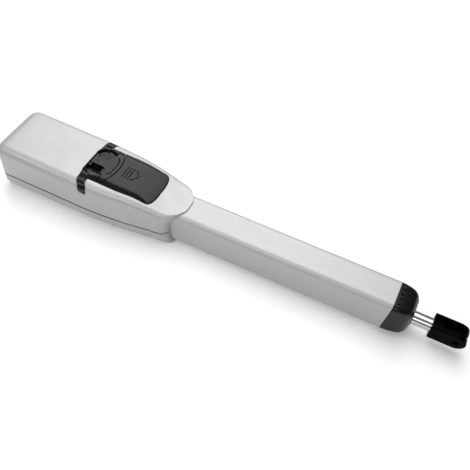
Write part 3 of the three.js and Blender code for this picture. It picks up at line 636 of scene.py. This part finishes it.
def release_frame():
    t = spread((-1, 8), (-0.93, 70), (-0.2, 10), (0.2, 70), (0.93, 8), (1, 0))
    x = spread((0, 10), (1.2, 4), (2.6, 50), (16, 40), (PLATE_X, 8), (PLATE_X + 7, 0))
    x, t = np.meshgrid(x, t, indexing="ij")
    turn = np.clip((20.0 - x) / 20.0, 0, 1) ** 1.6
    half = UNIT_HALF - 15.0 * (1 - (1 - turn) ** (1 / 1.6))
    y = t * half
    side = (1 - np.abs(t)) * half
    top = soft_min(flank(np.minimum(side, 40)), 0.6 + 1.4 * x, 1.0) - round_off(side, 0.6) * 0.6
    inside = scoop(x, y)
    floor = -4.0 + 3.0 * smooth((np.abs(y) - SPINE) / 23.0) + 2.0 * smooth((14.0 - x) / 9.0)
    wall = smooth((inside + 0.1) / 1.5)
    top = top * (1 - wall) + floor * wall
    knuckle = smooth((2.8 - np.abs(x - HINGE_X)) / 0.6) * smooth((PIN_END + 0.6 - np.abs(y)) / 0.6)
    top = np.maximum(top, floor + (3.7 - floor) * knuckle)
    bed = smooth((SPINE + GAP + 0.3 - np.abs(y)) / 0.5) * smooth((x - 2.6) / 0.5)
    top = top * (1 - bed) + np.minimum(top, -1.5) * bed
    ahead = smooth((x - PLATE_X + 0.6) / 0.6)
    top = top * (1 - ahead) + np.minimum(top, 0.0) * ahead
    tray = relief("frame_tray", x, y, top, -8.0)
    leg_slot = block("leg_slot", 3.6, 21, -3.2, 3.2, -12, 1, place=lid_frame)
    return cut(tray, leg_slot)


def strap(sign):
    u, v = upper_section()
    keep = (u > 27.5) & (SEAM_HIGH + v / (TOP_HEIGHT - SEAM_HIGH) * 51.5 > STRAP_BOTTOM)
    u, v = u[keep], v[keep]
    path = np.linspace(0, len(u) - 1, 60)
    u, v = np.interp(path, np.arange(len(u)), u), np.interp(path, np.arange(len(v)), v)
    across_it = spread((0, 6), (0.08, 16), (0.92, 6), (1, 0))
    middle_z = upper_point(np.full_like(u, 163.0), u, v)[:, 2]
    rear, front = strap_edges(middle_z)
    x = rear[:, None] + across_it[None, :] * (front - rear)[:, None]
    uu = np.broadcast_to(u[:, None], x.shape)
    vv = np.broadcast_to(v[:, None], x.shape)
    on_skin = upper_point(x, uu, vv)
    normal = -outward(on_skin)
    width = (front - rear)[:, None]
    edge = np.minimum(across_it, 1 - across_it)[None, :] * width
    rise = 3.4 * smooth((42.0 - np.abs(on_skin[..., 1])) / 12.0)
    sink = 0.15 + round_off(edge, 0.9) * 0.8 - rise
    top = on_skin - sink[..., None] * normal
    low = on_skin - 2.4 * normal
    rings = np.concatenate([top, low[:, ::-1]], axis=1)
    rings[..., 1] *= sign
    return skin(f"strap_{'left' if sign > 0 else 'right'}", rings)


# ---- materials ------------------------------------------------------------------------------
def noise(tree, scale, detail=2.0, stretch=(1, 1, 1)):
    place = tree.nodes.new("ShaderNodeTexCoord")
    mapping = tree.nodes.new("ShaderNodeMapping")
    mapping.inputs["Scale"].default_value = stretch
    texture = tree.nodes.new("ShaderNodeTexNoise")
    texture.inputs["Scale"].default_value = scale
    texture.inputs["Detail"].default_value = detail
    tree.links.new(place.outputs["Object"], mapping.inputs["Vector"])
    tree.links.new(mapping.outputs["Vector"], texture.inputs["Vector"])
    return texture.outputs["Fac"]


def ranged(tree, value, low, high):
    node = tree.nodes.new("ShaderNodeMapRange")
    node.inputs["From Min"].default_value = 0.3
    node.inputs["From Max"].default_value = 0.7
    node.inputs["To Min"].default_value = low
    node.inputs["To Max"].default_value = high
    tree.links.new(value, node.inputs["Value"])
    return node.outputs["Result"]


def finish(
    name,
    colour,
    roughness,
    metallic=0.0,
    grain=2500.0,
    depth=0.02,
    mottle=0.05,
    stretch=(1, 1, 1),
    specular=0.5,
    vary=0.05,
):
    """Procedural finish: fine grain in the bump, slow mottling in colour and roughness."""
    made = bpy.data.materials.new(name)
    made.use_nodes = True
    tree = made.node_tree
    surface = tree.nodes["Principled BSDF"]
    surface.inputs["Metallic"].default_value = metallic
    surface.inputs["Specular IOR Level"].default_value = specular

    mix = tree.nodes.new("ShaderNodeMix")
    mix.data_type = "RGBA"
    mix.inputs["A"].default_value = [c * (1 - mottle) for c in colour] + [1]
    mix.inputs["B"].default_value = [min(1, c * (1 + mottle)) for c in colour] + [1]
    tree.links.new(ranged(tree, noise(tree, grain * 0.3, 4.0, stretch), 0, 1), mix.inputs["Factor"])
    tree.links.new(mix.outputs["Result"], surface.inputs["Base Color"])

    slow = ranged(tree, noise(tree, 45.0, 5.0, stretch), roughness - vary, roughness + vary)
    tree.links.new(slow, surface.inputs["Roughness"])

    bump = tree.nodes.new("ShaderNodeBump")
    bump.inputs["Strength"].default_value = 0.6
    bump.inputs["Distance"].default_value = depth * MM
    tree.links.new(noise(tree, grain, 3.0, stretch), bump.inputs["Height"])
    tree.links.new(bump.outputs["Normal"], surface.inputs["Normal"])
    return made


STREAKS = (0.04, 1, 1)
FINISHES = {
    "silver_paint": finish("silver_paint", (0.41, 0.41, 0.415), 0.44, 0.3, 3200, 0.010, 0.04),
    "anodised_tube": finish(
        "anodised_tube", (0.41, 0.41, 0.415), 0.42, 0.3, 2600, 0.008, 0.04, STREAKS
    ),
    "black_plastic": finish(
        "black_plastic", (0.003, 0.003, 0.0032), 0.22, 0, 2200, 0.012, 0.15, specular=0.26
    ),
    "black_rubber": finish("black_rubber", (0.012, 0.012, 0.012), 0.7, 0, 1800, 0.04, 0.2),
    "black_painted_metal": finish(
        "black_painted_metal", (0.0006, 0.0006, 0.0006), 0.22, 0, 900, 0.012, 0.15, specular=0.02
    ),
    "chrome_rod": finish("chrome_rod", (0.5, 0.505, 0.515), 0.2, 1, 3000, 0.003, 0.03, STREAKS),
    "steel": finish("steel", (0.32, 0.33, 0.34), 0.35, 0.95, 1800, 0.01, 0.1),
    "zinc": finish("zinc", (0.45, 0.46, 0.47), 0.42, 0.9, 700, 0.02, 0.15),
    "bronze": finish("bronze", (0.42, 0.22, 0.07), 0.4, 0.9, 1200, 0.02, 0.12),
    "copper": finish("copper", (0.5, 0.18, 0.07), 0.35, 0.95, 2000, 0.02, 0.12),
    "green_board": finish("green_board", (0.015, 0.12, 0.04), 0.45, 0, 900, 0.02, 0.15),
    "grey_plastic": finish("grey_plastic", (0.16, 0.17, 0.18), 0.5, 0, 2200, 0.03, 0.08),
}


def dress(obj, slot):
    obj.data.materials.clear()
    obj.data.materials.append(FINISHES[slot])


def piece(obj, body, slot, *nodes):
    dress(obj, slot)
    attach(obj, body)
    if nodes:
        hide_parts(*nodes)
    return obj


piece(upper_cover(), "operator", "silver_paint", "upper_cover")
piece(lower_shell(), "operator", "silver_paint", "lower_shell")
piece(seam_gasket(), "operator", "black_rubber")
piece(tube(), "operator", "anodised_tube", "tube")
piece(front_cap(), "operator", "black_plastic", "front_cap")
piece(wiper(), "operator", "black_rubber", "rod_wiper")
piece(rod(), "rod", "chrome_rod", "rod")
piece(fork(), "rod", "black_painted_metal", "fork")
piece(release_frame(), "operator", "black_plastic", "release_frame")
for sign in (-1, 1):
    piece(strap(sign), "operator", "black_plastic")
piece(release_lever(), "lever", "black_plastic", "release_lever")
piece(slide_cover(), "key_cover", "black_plastic", "slide_cover")

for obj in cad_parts.values():
    for place in obj.material_slots:
        known = place.material.name.split(".")[0] if place.material else ""
        place.material = FINISHES.get(known, FINISHES["steel"])

# ---- floor, light and camera ----------------------------------------------------------------
FLOOR_SIZE = 14.0
LIGHT_AIM = Vector((0, 0, 0.04))
MAIN_LIGHT = (Vector((-0.33, 0.72, 1.43)), 1.7, 2.4, 38.0)
EDGE_LIGHT = (Vector((-0.36, -1.17, 1.07)), 2.4, 0.56, 12.0)
FLOOR_GLOW = 0.10
ROOM_GLOW = 0.25
CAMERA_PLACE = Vector((0.23419, -0.54361, 0.80044))
CAMERA_HEADING, CAMERA_PITCH, CAMERA_ROLL = -21.54, 52.23, -5.46
CAMERA_LENS, SENSOR = 47.79, 36.0


def floor():
    mesh = bpy.data.meshes.new("floor")
    half = FLOOR_SIZE / 2
    corners = [(-half, -half, 0), (half, -half, 0), (half, half, 0), (-half, half, 0)]
    mesh.from_pydata(corners, [], [(0, 1, 2, 3)])
    ground = bpy.data.objects.new("floor", mesh)
    bpy.context.scene.collection.objects.link(ground)
    ground.location.z = cad_box[0][2] - 0.0005
    paper = finish("floor_paper", (0.93, 0.93, 0.93), 0.8, 0, 400, 0.01, 0.01)
    surface = paper.node_tree.nodes["Principled BSDF"]
    surface.inputs["Emission Color"].default_value = (1, 1, 1, 1)
    surface.inputs["Emission Strength"].default_value = FLOOR_GLOW
    ground.data.materials.append(paper)


def softbox(name, place, width, depth, watts):
    data = bpy.data.lights.new(name, "AREA")
    data.shape = "RECTANGLE"
    data.size, data.size_y = width, depth
    data.energy = watts
    lamp = bpy.data.objects.new(name, data)
    lamp.location = place
    lamp.rotation_mode = "QUATERNION"
    lamp.rotation_quaternion = (LIGHT_AIM - place).to_track_quat("-Z", "Y")
    bpy.context.scene.collection.objects.link(lamp)


def sky():
    world = bpy.data.worlds.new("studio")
    bpy.context.scene.world = world
    world.use_nodes = True
    tree = world.node_tree
    ground = tree.nodes["Background"]
    place = tree.nodes.new("ShaderNodeTexCoord")
    split = tree.nodes.new("ShaderNodeSeparateXYZ")
    ramp = tree.nodes.new("ShaderNodeValToRGB")
    ramp.color_ramp.elements[0].position = 0.05
    ramp.color_ramp.elements[0].color = (0.15, 0.15, 0.15, 1)
    ramp.color_ramp.elements[1].position = 0.6
    ramp.color_ramp.elements[1].color = (1, 1, 1, 1)
    tree.links.new(place.outputs["Generated"], split.inputs["Vector"])
    tree.links.new(split.outputs["Z"], ramp.inputs["Fac"])
    tree.links.new(ramp.outputs["Color"], ground.inputs["Color"])
    ground.inputs["Strength"].default_value = ROOM_GLOW


def camera():
    heading, pitch, roll = (math.radians(a) for a in (CAMERA_HEADING, CAMERA_PITCH, CAMERA_ROLL))
    ahead = Vector(
        (math.sin(heading) * math.cos(pitch), math.cos(heading) * math.cos(pitch), -math.sin(pitch))
    )
    level = Vector((math.cos(heading), -math.sin(heading), 0))
    down = ahead.cross(level)
    right = math.cos(roll) * level + math.sin(roll) * down
    low = -math.sin(roll) * level + math.cos(roll) * down
    data = bpy.data.cameras.new("camera")
    data.lens, data.sensor_width = CAMERA_LENS, SENSOR
    eye = bpy.data.objects.new("camera", data)
    turn = Matrix((right, -low, -ahead)).transposed()
    eye.matrix_world = Matrix.Translation(CAMERA_PLACE) @ turn.to_4x4()
    bpy.context.scene.collection.objects.link(eye)
    bpy.context.scene.camera = eye


floor()
softbox("main_light", *MAIN_LIGHT)
softbox("edge_light", *EDGE_LIGHT)
sky()
camera()
bpy.context.scene.view_settings.view_transform = "Standard"
